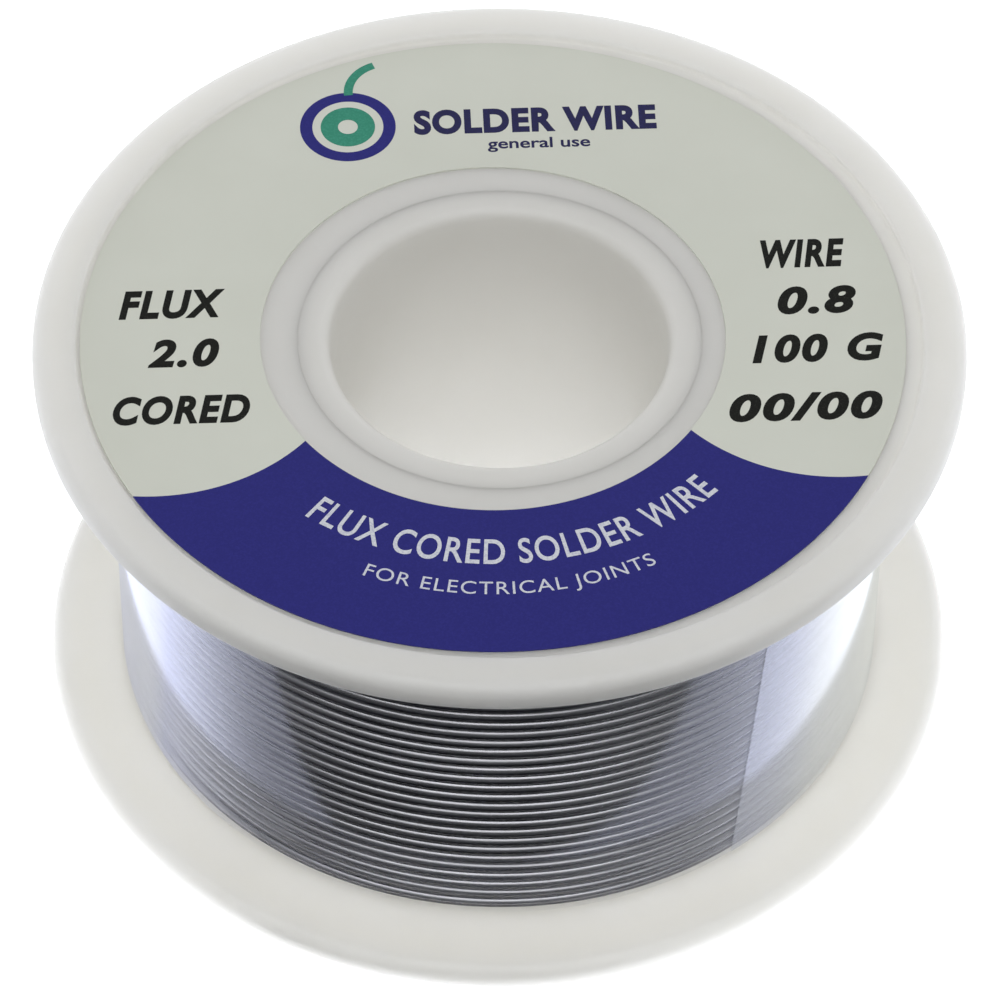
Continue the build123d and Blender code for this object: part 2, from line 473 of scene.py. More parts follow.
@dataclass(frozen=True)
class LightTable:
    """Frosted white acrylic lit evenly from below."""
    base: str = "#F7F7F7"
    light: str = "#F3F6FF"
    glow: float = 0.93
    roughness: float = 0.9
    frost_mm: float = 0.8
    frost_depth_mm: float = 0.02

    def build(self) -> bpy.types.Material:
        """Make the table's material.

        Returns:
            The material, on Object coordinates.
        """
        material, tree = new_material("light_table_frosted_acrylic")
        place = add(tree, "ShaderNodeTexCoord").outputs["Object"]
        frost = add(tree, "ShaderNodeTexNoise", {
            "Vector": place, "Scale": per_mm(self.frost_mm), "Detail": 3.0})
        bump = add(tree, "ShaderNodeBump", {
            "Height": frost.outputs["Fac"], "Strength": 0.03, "Distance": self.frost_depth_mm * MM})
        shader = add(tree, "ShaderNodeBsdfPrincipled", {
            "Base Color": linear(self.base), "Roughness": self.roughness, "Normal": bump.outputs[0],
            "Emission Color": linear(self.light), "Emission Strength": self.glow})
        add(tree, "ShaderNodeOutputMaterial", {"Surface": shader.outputs[0]})
        return material


@dataclass(frozen=True)
class FlagCloth:
    """Dull black cloth that keeps the table's light off the front of the spool."""
    base: str = "#1C1D20"
    nap: str = "#26272B"
    roughness: float = 0.95
    nap_mm: float = 1.2

    def build(self) -> bpy.types.Material:
        """Make the cloth's material.

        Returns:
            The material, on Object coordinates.
        """
        material, tree = new_material("flag_cloth_black")
        place = add(tree, "ShaderNodeTexCoord").outputs["Object"]
        nap = add(tree, "ShaderNodeTexNoise", {"Vector": place, "Scale": per_mm(self.nap_mm), "Detail": 4.0})
        colour = add(tree, "ShaderNodeMix", {
            "Factor": nap.outputs["Fac"], COLOUR_A: linear(self.base), COLOUR_B: linear(self.nap)},
            data_type="RGBA")
        shader = add(tree, "ShaderNodeBsdfPrincipled", {
            "Base Color": colour.outputs[COLOUR_OUT], "Roughness": self.roughness})
        add(tree, "ShaderNodeOutputMaterial", {"Surface": shader.outputs[0]})
        return material


NAVY_INK = PrintInk("ink_navy", "#151478", "#1E1D82")
HEADING_INK = PrintInk("ink_dark_navy", "#0F0C48", "#17145A")
THERMAL_BLACK = PrintInk("ink_black_thermal", "#161713", "#2C2D29", roughness=0.5, grain_mm=0.09, worn=0.1,
                         ior=1.25)
WHITE_INK = PrintInk("ink_white", "#E3E5EA", "#C6C8DA", roughness=0.45)
TEAL_INK = PrintInk("ink_teal", "#2E8F74", "#3C9C82")


@dataclass
class Finishes:
    """Every finish of the spool, built once."""
    plastic: bpy.types.Material = field(default_factory=lambda: NaturalPolypropylene().build())
    paper: bpy.types.Material = field(default_factory=lambda: CoatedLabelStock().build())
    navy: bpy.types.Material = field(default_factory=NAVY_INK.build)
    heading: bpy.types.Material = field(default_factory=HEADING_INK.build)
    black: bpy.types.Material = field(default_factory=THERMAL_BLACK.build)
    white: bpy.types.Material = field(default_factory=WHITE_INK.build)
    teal: bpy.types.Material = field(default_factory=TEAL_INK.build)
    solder: bpy.types.Material = field(default_factory=lambda: DrawnSolder().build())
    flux: bpy.types.Material = field(default_factory=lambda: RosinFlux().build())
    film: bpy.types.Material = field(default_factory=lambda: ClearFilm().build())


# ---------------------------------------------------------------- mesh helpers

def ramp(value: float, start: float, end: float) -> float:
    """A smooth step from 0 to 1.

    Args:
        value: where to read the step.
        start: where it leaves 0.
        end: where it reaches 1, which may be the lower of the two.

    Returns:
        The step's height at the value.
    """
    share = min(1.0, max(0.0, (value - start) / (end - start)))
    return share * share * (3 - 2 * share)


def seat(name: str, mesh: bpy.types.Mesh, material: bpy.types.Material,
         replaces: Sequence[str] = (), sharp_deg: float = 40.0) -> bpy.types.Object:
    """Put a finished mesh in the scene as a piece of the spool.

    Args:
        name: the piece's name.
        mesh: its mesh, already in place.
        material: its finish.
        replaces: CAD nodes that the piece stands for.
        sharp_deg: edges that turn more than this stay sharp.

    Returns:
        The new object.
    """
    mesh.name = name
    mesh.materials.clear()
    mesh.materials.append(material)
    mesh.shade_smooth()
    mesh.set_sharp_from_angle(angle=math.radians(sharp_deg))
    piece = bpy.data.objects.new(name, mesh)
    bpy.context.scene.collection.objects.link(piece)
    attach(piece, ROOT)
    if replaces:
        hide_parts(*replaces)
    LOG.info("%s: %d faces", name, len(mesh.polygons))
    return piece


def to_mesh(name: str, bm: bmesh.types.BMesh) -> bpy.types.Mesh:
    """Turn a bmesh into a mesh with outward faces.

    Args:
        name: the mesh's name.
        bm: the closed body, which is freed.

    Returns:
        The mesh.
    """
    bmesh.ops.recalc_face_normals(bm, faces=bm.faces)
    mesh = bpy.data.meshes.new(name)
    bm.to_mesh(mesh)
    bm.free()
    return mesh


def rounded(outline: Sequence[tuple[float, float, float]], steps: int = 8) -> list[Point2]:
    """Round the corners of a closed outline.

    Args:
        outline: x, y and corner radius of each corner, in order.
        steps: points along each rounded corner.

    Returns:
        The outline's points, with an arc at each corner that has a radius.
    """
    points: list[Point2] = []
    count = len(outline)
    for number, (x, y, radius) in enumerate(outline):
        here = Vector((x, y))
        if radius <= 0:
            points.append((x, y))
            continue
        before = (Vector(outline[number - 1][:2]) - here).normalized()
        after = (Vector(outline[(number + 1) % count][:2]) - here).normalized()
        half = before.angle(after) / 2
        reach = radius / math.tan(half)
        centre = here + (before + after).normalized() * (radius / math.sin(half))
        start = here + before * reach - centre
        sweep = (here + after * reach - centre).angle_signed(start)
        for step in range(steps + 1):
            turn = Matrix.Rotation(sweep * step / steps, 2)
            spot = centre + turn @ start
            points.append((spot.x, spot.y))
    return points


def lathe(outline: Sequence[Point2], segments: int) -> bmesh.types.BMesh:
    """Turn a closed outline of radius and height round the Z axis.

    Args:
        outline: the closed section, as radius and height.
        segments: steps round the axis.

    Returns:
        The turned body.
    """
    bm = bmesh.new()
    rings = []
    for step in range(segments):
        angle = TAU * step / segments
        rings.append([bm.verts.new((r * math.cos(angle), r * math.sin(angle), z)) for r, z in outline])
    for step in range(segments):
        here, there = rings[step], rings[(step + 1) % segments]
        for number in range(len(outline)):
            after = (number + 1) % len(outline)
            bm.faces.new((here[number], here[after], there[after], there[number]))
    return bm


def slab(grid: Sequence[Sequence[Point3]], drop: Callable[[Point3], Point3]) -> bmesh.types.BMesh:
    """Close a grid of points into a thin sheet with a front, a back and four edges.

    Args:
        grid: rows of points on the front.
        drop: gives the point on the back that lies behind one on the front.

    Returns:
        The closed sheet.
    """
    bm = bmesh.new()
    front = [[bm.verts.new(p) for p in row] for row in grid]
    back = [[bm.verts.new(drop(p)) for p in row] for row in grid]
    rows, columns = len(grid), len(grid[0])
    for i in range(rows - 1):
        for j in range(columns - 1):
            bm.faces.new((front[i][j], front[i][j + 1], front[i + 1][j + 1], front[i + 1][j]))
            bm.faces.new((back[i][j], back[i + 1][j], back[i + 1][j + 1], back[i][j + 1]))
    border = [(0, j) for j in range(columns)] + [(i, columns - 1) for i in range(1, rows)]
    border += [(rows - 1, j) for j in range(columns - 2, -1, -1)] + [(i, 0) for i in range(rows - 2, 0, -1)]
    for number, (i, j) in enumerate(border):
        k, m = border[(number + 1) % len(border)]
        bm.faces.new((front[i][j], back[i][j], back[k][m], front[k][m]))
    return bm


# ---------------------------------------------------------------- spool mouldings

@dataclass
class Flange:
    """One flange: a disc with a raised rounded rim and a ring that centres it in the drum.

    outward is 1 where the outer face looks up and -1 where it looks down, and
    foot_round is the rounding of the rim's foot as a share of its top's.
    """
    node: str
    outward: int
    hole_r: float
    segments: int = 288
    thick: float = 2.0 * MM
    rim_w: float = 2.6 * MM
    recess: float = 0.45 * MM
    edge_round: float = 0.75 * MM
    rim_round: float = 0.22 * MM
    spigot_r: float = 16.75 * MM
    spigot_t: float = 1.4 * MM
    corner: float = 0.12 * MM
    hole_round: float = 0.015 * MM
    foot_round: float = 0.9

    def build(self, finishes: Finishes) -> bpy.types.Object:
        """Turn the flange and dress it.

        Args:
            finishes: the spool's finishes.

        Returns:
            The flange piece.
        """
        low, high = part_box(self.node)
        face_z = high.z if self.outward > 0 else low.z
        tip_z = low.z if self.outward > 0 else high.z
        inner_z = face_z - self.outward * self.thick
        floor_z = face_z - self.outward * self.recess
        outline = rounded([
            (self.hole_r, inner_z, 0.0),
            (self.spigot_r - self.spigot_t, inner_z, self.corner),
            (self.spigot_r - self.spigot_t, tip_z, self.corner),
            (self.spigot_r, tip_z, self.corner),
            (self.spigot_r, inner_z, 0.0),
            (high.x, inner_z, self.edge_round),
            (high.x, face_z, self.edge_round),
            (high.x - self.rim_w, face_z, self.rim_round),
            (high.x - self.rim_w, floor_z, self.rim_round * self.foot_round),
            (self.hole_r, floor_z, self.hole_round),
        ])
        mesh = to_mesh(self.node, lathe(outline, self.segments))
        return seat(f"{self.node}_moulding", mesh, finishes.plastic, [self.node])


@dataclass
class Barrel:
    """The barrel: a bore tube joined by webs to the drum that carries the wire."""
    node: str = "hub_barrel"
    bore_r: float = 10.0 * MM
    tube_r: float = 11.9 * MM
    drum_wall: float = 1.4 * MM
    flange_t: float = 2.0 * MM
    mouth_round: float = 0.65 * MM
    seam: float = 0.015 * MM
    rib_t: float = 1.2 * MM
    rib_count: int = 6
    rib_end: float = 5.0 * MM
    hole_r: float = 0.8 * MM
    hole_z: float = 5.8 * MM
    fuse: float = 0.3 * MM
    segments: int = 192
    mouth_steps: int = 10
    drill_sides: int = 32
    sharp_deg: float = 30.0

    def build(self, finishes: Finishes) -> bpy.types.Object:
        """Turn the tube and the drum, join them with webs and drill the hole for the wire's start.

        Args:
            finishes: the spool's finishes.

        Returns:
            The barrel piece.
        """
        low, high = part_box(self.node)
        spool_top = low.z + high.z
        tube = rounded([
            (self.bore_r, low.z, self.mouth_round),
            (self.tube_r, low.z, self.seam),
            (self.tube_r, high.z, self.seam),
            (self.bore_r, high.z, self.mouth_round),
        ], self.mouth_steps)
        drum = [
            (high.x - self.drum_wall, self.flange_t),
            (high.x, self.flange_t),
            (high.x, spool_top - self.flange_t),
            (high.x - self.drum_wall, spool_top - self.flange_t),
        ]
        body = self._object("barrel_tube", lathe(tube, self.segments))
        others = [self._object("barrel_drum", lathe(drum, self.segments))]
        for number in range(self.rib_count):
            others.append(self._object(f"barrel_web_{number}", self._web(number, high.x, spool_top)))
        for other in others:
            self._combine(body, other, "UNION")
        self._combine(body, self._object("barrel_drill", self._drill(high.x)), "DIFFERENCE")
        evaluated = body.evaluated_get(bpy.context.evaluated_depsgraph_get())
        mesh = bpy.data.meshes.new_from_object(evaluated)
        for other in [o for o in bpy.data.objects if o.name.startswith("barrel_")]:
            bpy.data.objects.remove(other)
        return seat("hub_barrel_moulding", mesh, finishes.plastic, [self.node], self.sharp_deg)

    def _object(self, name: str, bm: bmesh.types.BMesh) -> bpy.types.Object:
        """Make a working object from a bmesh.

        Args:
            name: the object's name, which starts with barrel_ so that it is cleared away.
            bm: its body.

        Returns:
            The object, in the scene.
        """
        made = bpy.data.objects.new(name, to_mesh(name, bm))
        bpy.context.scene.collection.objects.link(made)
        return made

    def _combine(self, body: bpy.types.Object, other: bpy.types.Object, how: str) -> None:
        """Give the body a boolean with another working object.

        Args:
            body: the object that is worked on.
            other: the object that is added or cut away.
            how: UNION or DIFFERENCE.
        """
        step = body.modifiers.new(other.name, "BOOLEAN")
        step.operation = how
        step.solver = "EXACT"
        step.object = other

    def _web(self, number: int, drum_r: float, spool_top: float) -> bmesh.types.BMesh:
        """One web, as a box that runs a little way into both walls.

        Args:
            number: which web it is.
            drum_r: the drum's outside radius.
            spool_top: the spool's height.

        Returns:
            The web.
        """
        bm = bmesh.new()
        bmesh.ops.create_cube(bm, size=1.0)
        inner = self.tube_r - self.fuse
        outer = drum_r - self.drum_wall + self.fuse
        size = Matrix.Diagonal((outer - inner, self.rib_t, spool_top - 2 * self.rib_end, 1.0))
        place = Matrix.Translation(((inner + outer) / 2, 0, spool_top / 2))
        turn = Matrix.Rotation(TAU * number / self.rib_count, 4, "Z")
        bm.transform(turn @ place @ size)
        return bm

    def _drill(self, drum_r: float) -> bmesh.types.BMesh:
        """The cutter for the hole in the drum's wall, at the back.

        Args:
            drum_r: the drum's outside radius.

        Returns:
            The cutter.
        """
        bm = bmesh.new()
        bmesh.ops.create_cone(bm, cap_ends=True, segments=self.drill_sides, radius1=self.hole_r,
                              radius2=self.hole_r, depth=4 * self.drum_wall)
        place = Matrix.Translation((0, drum_r - self.drum_wall / 2, self.hole_z))
        bm.transform(place @ Matrix.Rotation(math.pi / 2, 4, "X"))
        return bm


# ---------------------------------------------------------------- label

@dataclass(frozen=True)
class Style:
    """Weight and slant of a printer's letters."""
    weight: float
    slant: float


@dataclass(frozen=True)
class Band:
    """A flat arc of ink about a point of the label; its angles are counted from the front."""
    name: str
    x: float
    y: float
    inner: float
    outer: float
    steps: int
    start_deg: float = 0.0
    end_deg: float = 360.0
    layers: int = 1


@dataclass
class Lettering:
    """One line of generic lettering on the label, straight or round an arc.

    Straight lines start at (x, y) and are width wide; arc lines have a baseline
    radius and the angle from the front at which they start and end.
    """
    name: str
    text: str
    cap: float
    x: float = 0.0
    y: float = 0.0
    width: float = 0.0
    arc_r: float = 0.0
    arc_from: float = 0.0
    arc_to: float = 0.0
    weight: float = 0.0
    slant: float = 0.0
    spacing: float = 1.0


@dataclass
class RingLabel:
    """The printed ring label, laid a little off centre and turned a little on the upper flange."""
    node: str = "face_label"
    turned_deg: float = 2.5
    segments: int = 256
    hole_r: float = 13.7 * MM
    edge: float = 0.03 * MM
    ink: float = 0.006 * MM
    bubble_r: float = 11.75 * MM
    bubble_x: float = 20.0 * MM
    bubble_y: float = -0.2 * MM
    panel_margin: float = 0.05 * MM
    panel_over: float = 0.004 * MM
    panel_rows: int = 48
    panel_columns: int = 160
    edge_steps: int = 3
    letter_steps: int = 6
    letter_merge: float = 1e-4
    sharp_deg: float = 30.0
    black_style: Style = Style(weight=0.042, slant=0.25)
    sign_x: float = -8.1 * MM
    sign_y: float = 17.4 * MM
    tail_x: float = 2.52 * MM
    tail_y: float = 2.9 * MM
    top: float = field(init=False, default=0.0)
    foot: float = field(init=False, default=0.0)
    outer_r: float = field(init=False, default=0.0)
    place: Matrix = field(init=False, default_factory=Matrix)

    def build(self, finishes: Finishes) -> list[bpy.types.Object]:
        """Cut the label and print on it.

        Args:
            finishes: the spool's finishes.

        Returns:
            The label and its print.
        """
        low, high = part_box(self.node)
        self.top = high.z
        self.foot = low.z + self.ink
        self.outer_r = (high.x - low.x) / 2
        shift = Matrix.Translation(((low.x + high.x) / 2, (low.y + high.y) / 2, 0))
        self.place = shift @ Matrix.Rotation(math.radians(self.turned_deg), 4, "Z")
        outline = rounded([
            (self.hole_r, low.z, 0.0), (self.outer_r, low.z, 0.0),
            (self.outer_r, high.z, self.edge), (self.hole_r, high.z, self.edge)], self.edge_steps)
        pieces = [self._piece("label_stock", lathe(outline, self.segments), finishes.paper, [self.node])]
        pieces.append(self._piece("label_navy_panel", self._panel(), finishes.navy))
        pieces += [self._words(line, finishes.black) for line in side_lines(self.black_style)]
        pieces += [self._words(line, finishes.heading) for line in top_lines()]
        pieces += [self._words(line, finishes.white, 2) for line in arc_lines()]
        pieces += self._reel_sign(finishes)
        return pieces

    def _piece(self, name: str, bm: bmesh.types.BMesh, ink: bpy.types.Material,
               replaces: Sequence[str] = ()) -> bpy.types.Object:
        """Turn and shift a piece of the label with the whole label, and seat it.

        Args:
            name: the piece's name.
            bm: its body, drawn about the label's own centre.
            ink: its finish.
            replaces: CAD nodes that the piece stands for.

        Returns:
            The piece.
        """
        bm.transform(self.place)
        return seat(name, to_mesh(name, bm), ink, replaces, self.sharp_deg)

    def _level(self, layers: int) -> float:
        """Height of the top of a number of ink layers."""
        return self.top + layers * self.ink

    def _bubble_angle(self, radius: float) -> float:
        """Where a circle about the label's centre meets the side bubble.

        Args:
            radius: the circle's radius.

        Returns:
            The angle of that point, counted from the front.
        """
        reach = math.hypot(self.bubble_x, self.bubble_y)
        towards = math.atan2(self.bubble_x, -self.bubble_y)
        share = (radius ** 2 + reach ** 2 - self.bubble_r ** 2) / (2 * radius * reach)
        return towards - math.acos(max(-1.0, min(1.0, share)))

    def _panel(self) -> bmesh.types.BMesh:
        """The dark panel at the front, cut away at each side by a round bubble.

        Returns:
            The panel, which reaches down the label's outer edge.
        """
        grid = []
        z = self._level(1)
        inner = self.hole_r + self.panel_margin
        outer = self.outer_r + self.panel_over
        for i in range(self.panel_rows + 1):
            radius = inner + (outer - inner) * i / self.panel_rows
            half = self._bubble_angle(radius)
            angles = [half * (2 * j / self.panel_columns - 1) for j in range(self.panel_columns + 1)]
            grid.append([(radius * math.sin(a), -radius * math.cos(a), z) for a in angles])
        return slab(grid, lambda p: (p[0], p[1], self.foot))

    def _words(self, line: Lettering, ink: bpy.types.Material, layers: int = 1) -> bpy.types.Object:
        """Print one line of lettering.

        Args:
            line: what it says and where.
            ink: its ink.
            layers: how many ink layers lie under and in it.

        Returns:
            The lettering as a mesh piece.
        """
        curve = bpy.data.curves.new(line.name, "FONT")
        curve.body = line.text
        curve.size = 1.0
        curve.shear = line.slant
        curve.offset = line.weight
        curve.space_character = line.spacing
        curve.resolution_u = self.letter_steps
        curve.extrude = 0.5
        working = bpy.data.objects.new(line.name, curve)
        bpy.context.scene.collection.objects.link(working)
        bpy.context.view_layer.update()
        evaluated = working.evaluated_get(bpy.context.evaluated_depsgraph_get())
        mesh = bpy.data.meshes.new_from_object(evaluated)
        bpy.data.objects.remove(working)
        bm = bmesh.new()
        bm.from_mesh(mesh)
        bpy.data.meshes.remove(mesh)
        bmesh.ops.remove_doubles(bm, verts=bm.verts, dist=self.letter_merge)
        left = min(v.co.x for v in bm.verts)
        wide = max(v.co.x for v in bm.verts) - left
        foot = min(v.co.y for v in bm.verts)
        tall = max(v.co.y for v in bm.verts) - foot
        top, bottom = self._level(layers), self.top - self.ink
        for vert in bm.verts:
            across = (vert.co.x - left) / wide
            up = (vert.co.y - foot) / tall * line.cap
            z = top if vert.co.z > 0 else bottom
            if line.arc_r:
                angle = math.radians(line.arc_from + (line.arc_to - line.arc_from) * across)
                radius = line.arc_r - up
                vert.co = (radius * math.sin(angle), -radius * math.cos(angle), z)
            else:
                vert.co = (line.x + across * line.width, line.y + up, z)
        return self._piece(line.name, bm, ink)

    def _reel_sign(self, finishes: Finishes) -> list[bpy.types.Object]:
        """A plain sign of a wire reel: a ring, a hub and a short tail of wire.

        Args:
            finishes: the spool's finishes.

        Returns:
            The sign's three pieces.
        """
        x, y = self.sign_x, self.sign_y
        ring = Band("label_reel_ring", x, y, inner=2.15 * MM, outer=2.9 * MM, steps=96)
        hub = Band("label_reel_hub", x, y, inner=0.6 * MM, outer=1.65 * MM, steps=64)
        tail = Band("label_reel_tail", x + self.tail_x, y + self.tail_y, inner=2.15 * MM, outer=2.7 * MM,
                    steps=24, start_deg=200.0, end_deg=275.0, layers=2)
        return [self._band(ring, finishes.navy),
                self._band(hub, finishes.teal),
                self._band(tail, finishes.teal)]

    def _band(self, band: Band, ink: bpy.types.Material) -> bpy.types.Object:
        """Print one band of ink.

        Args:
            band: its shape and place.
            ink: its ink.

        Returns:
            The band as a mesh piece.
        """
        z = self._level(band.layers)
        grid = []
        for step in range(band.steps + 1):
            angle = math.radians(band.start_deg + (band.end_deg - band.start_deg) * step / band.steps)
            way_x, way_y = math.sin(angle), -math.cos(angle)
            grid.append([(band.x + r * way_x, band.y + r * way_y, z) for r in (band.inner, band.outer)])
        return self._piece(band.name, slab(grid, lambda p: (p[0], p[1], self.top - self.ink)), ink)


def side_lines(style: Style) -> list[Lettering]:
    """The two printed blocks at the sides, as a thermal printer would write them.

    Args:
        style: the printer's letters.

    Returns:
        The seven lines, the left block first.
    """
    # what a line says, then its left end, foot, width and letter height in mm
    rows = [
        ("FLUX", -22.0, 1.95, 6.3, 2.3),
        ("2.0", -20.3, -1.95, 4.2, 2.25),
        ("CORED", -22.35, -6.42, 8.0, 2.25),
        ("WIRE", 16.2, 4.7, 5.0, 2.3),
        ("0.8", 16.9, 0.93, 4.7, 2.25),
        ("100 G", 15.1, -2.92, 7.85, 2.25),
        ("00/00", 13.5, -7.5, 9.0, 2.2),
    ]
    return [
        Lettering(f"label_line_{number}", text, cap * MM, x * MM, y * MM, width * MM,
                  weight=style.weight, slant=style.slant, spacing=1.15)
        for number, (text, x, y, width, cap) in enumerate(rows, 1)
    ]


def top_lines() -> list[Lettering]:
    """The heading at the back of the label.

    Returns:
        The heading and the line below it.
    """
    return [
        Lettering("label_heading", "SOLDER WIRE", cap=2.1 * MM, x=-4.1 * MM, y=16.55 * MM, width=14.7 * MM,
                  weight=0.048, spacing=1.1),
        Lettering("label_subheading", "general use", cap=1.15 * MM, x=0.3 * MM, y=14.95 * MM, width=6.2 * MM,
                  weight=0.018),
    ]


def arc_lines() -> list[Lettering]:
    """The two lines round the front panel.

    Returns:
        The larger line and the smaller one outside it.
    """
    return [
        Lettering("label_arc_line_1", "FLUX CORED SOLDER WIRE", cap=1.9 * MM, arc_r=17.85 * MM,
                  arc_from=-39.5, arc_to=44.5, weight=0.012, spacing=1.08),
        Lettering("label_arc_line_2", "FOR ELECTRICAL JOINTS", cap=1.25 * MM, arc_r=20.4 * MM,
                  arc_from=-24.0, arc_to=25.5, spacing=1.1),
    ]


# ---------------------------------------------------------------- winding

@dataclass(frozen=True)
class Crossing:
    """A place where a turn rides over or dips between its neighbours.

    turn counts from the foot of the winding, width is a share of a turn, rise
    moves the wire along the axis and lift moves it out from the axis.
    """
    turn: float
    width: float
    rise: float
    lift: float


@dataclass
class Winding:
    """The solder wire, layer by layer, each layer a helix of the same wire.

    The lay strays slowly along the axis by wander and quickly out from it by
    ripple; looseness is the share of both that a layer gets.
    """
    layers: int = 7
    wire_r: float = 0.4 * MM
    turns: float = 28.0
    end_deg: float = 50.0
    wander: float = 0.07 * MM
    ripple: float = 0.006 * MM
    flux_r: float = 0.155 * MM
    flux_length: float = 0.6 * MM
    flux_sides: int = 32
    inner_steps: int = 72
    inner_sides: int = 8
    inner_looseness: float = 0.3
    outer_steps: int = 168
    outer_sides: int = 14
    seed_step: float = 17.0
    wanders_per_turn: float = 0.83
    ripples_per_wander: float = 9.0
    sharp_deg: float = 80.0
    crossings: tuple[Crossing, ...] = (
        Crossing(13.70, 0.09, -0.16 * MM, -0.30 * MM),
        Crossing(12.78, 0.07, 0.10 * MM, -0.12 * MM),
        Crossing(4.66, 0.12, -0.22 * MM, -0.18 * MM),
        Crossing(5.86, 0.06, 0.15 * MM, -0.20 * MM),
        Crossing(20.62, 0.08, 0.12 * MM, -0.15 * MM),
        Crossing(1.55, 0.10, 0.12 * MM, -0.10 * MM),
    )

    def build(self, finishes: Finishes) -> list[bpy.types.Object]:
        """Wind every layer and fill the wire's end with flux.

        Args:
            finishes: the spool's finishes.

        Returns:
            The layers and the flux core.
        """
        low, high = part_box("wire_layer_1")
        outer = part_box(f"wire_layer_{self.layers}")[1].x
        drum_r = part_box("hub_barrel")[1].x
        foot = low.z + self.wire_r
        rise = high.z - low.z - 2 * self.wire_r
        step = (outer - drum_r - 2 * self.wire_r) / (self.layers - 1)
        pieces = []
        for number in range(1, self.layers):
            tree = self._tree(f"turns_of_layer_{number}", finishes.solder, ())
            radius = drum_r + self.wire_r + (number - 1) * step
            mesh = self._wind(tree, radius, foot, rise, self.inner_steps, self.inner_sides, number,
                              number % 2 == 0, self.inner_looseness)
            pieces.append(seat(f"wire_layer_{number}_turns", mesh, finishes.solder,
                               [f"wire_layer_{number}"], self.sharp_deg))
        tree = self._tree("turns_of_outer_layer", finishes.solder, self.crossings)
        mesh = self._wind(tree, outer - self.wire_r, foot, rise, self.outer_steps, self.outer_sides,
                          self.layers, False, 1.0)
        pieces.append(seat("wire_outer_turns", mesh, finishes.solder,
                           [f"wire_layer_{self.layers}", "wire_last_turn"], self.sharp_deg))
        pieces.append(self._flux(outer - self.wire_r, foot + rise, finishes))
        return pieces

    def _tree(self, name: str, material: bpy.types.Material,
              crossings: Iterable[Crossing]) -> bpy.types.NodeTree:
        """Geometry nodes that wind one layer of wire.

        Args:
            name: the tree's name.
            material: the wire's finish.
            crossings: places where a turn leaves the even helix.

        Returns:
            The tree, with named inputs for the layer's sizes.
        """
        tree = bpy.data.node_groups.new(name, "GeometryNodeTree")
        tree.interface.new_socket("Geometry", in_out="OUTPUT", socket_type="NodeSocketGeometry")
        for label, kind in (("Radius", "Float"), ("Foot", "Float"), ("Rise", "Float"), ("Turns", "Float"),
                            ("Wire radius", "Float"), ("Wander", "Float"), ("Ripple", "Float"),
                            ("Seed", "Float"), ("Start angle", "Float"), ("Left hand", "Bool"),
                            ("Steps", "Int"), ("Sides", "Int")):
            tree.interface.new_socket(label, in_out="INPUT", socket_type=f"NodeSocket{kind}")
        size = add(tree, "NodeGroupInput").outputs
        helix = add(tree, "GeometryNodeCurveSpiral", {
            "Resolution": size["Steps"], "Rotations": size["Turns"], "Start Radius": size["Radius"],
            "End Radius": size["Radius"], "Height": size["Rise"], "Reverse": size["Left hand"]})
        spline = add(tree, "GeometryNodeSplineParameter")
        marked = add(tree, "GeometryNodeStoreNamedAttribute", {
            "Geometry": helix.outputs[0], "Name": "along", "Value": spline.outputs["Length"]},
            data_type="FLOAT", domain="POINT")
        turn = add(tree, "ShaderNodeMath", {0: spline.outputs["Factor"], 1: size["Turns"]},
                   operation="MULTIPLY")
        rise, lift = self._wobble(tree, size, turn.outputs[0], crossings)
        place = add(tree, "GeometryNodeInputPosition")
        flat = add(tree, "ShaderNodeVectorMath", {0: place.outputs[0], 1: (1.0, 1.0, 0.0)},
                   operation="MULTIPLY")
        out = add(tree, "ShaderNodeVectorMath", {0: flat.outputs[0]}, operation="NORMALIZE")
        push = add(tree, "ShaderNodeVectorMath", {0: out.outputs[0], "Scale": lift}, operation="SCALE")
        climb = add(tree, "ShaderNodeCombineXYZ", {2: rise})
        shift = add(tree, "ShaderNodeVectorMath", {0: push.outputs[0], 1: climb.outputs[0]}, operation="ADD")
        moved = add(tree, "GeometryNodeSetPosition", {0: marked.outputs[0], "Offset": shift.outputs[0]})
        circle = add(tree, "GeometryNodeCurvePrimitiveCircle", {
            "Resolution": size["Sides"], "Radius": size["Wire radius"]})
        around = add(tree, "GeometryNodeSplineParameter")
        profile = add(tree, "GeometryNodeStoreNamedAttribute", {
            "Geometry": circle.outputs[0], "Name": "around", "Value": around.outputs["Factor"]},
            data_type="FLOAT", domain="POINT")
        tube = add(tree, "GeometryNodeCurveToMesh", {
            0: moved.outputs[0], 1: profile.outputs[0], "Fill Caps": True})
        base = add(tree, "ShaderNodeCombineXYZ", {2: size["Foot"]})
        angle = add(tree, "ShaderNodeCombineXYZ", {2: size["Start angle"]})
        seated = add(tree, "GeometryNodeTransform", {
            0: tube.outputs[0], "Translation": base.outputs[0], "Rotation": angle.outputs[0]})
        real = add(tree, "GeometryNodeRealizeInstances", {0: seated.outputs[0]})
        dressed = add(tree, "GeometryNodeSetMaterial", {0: real.outputs[0], "Material": material})
        add(tree, "NodeGroupOutput", {0: dressed.outputs[0]})
        return tree

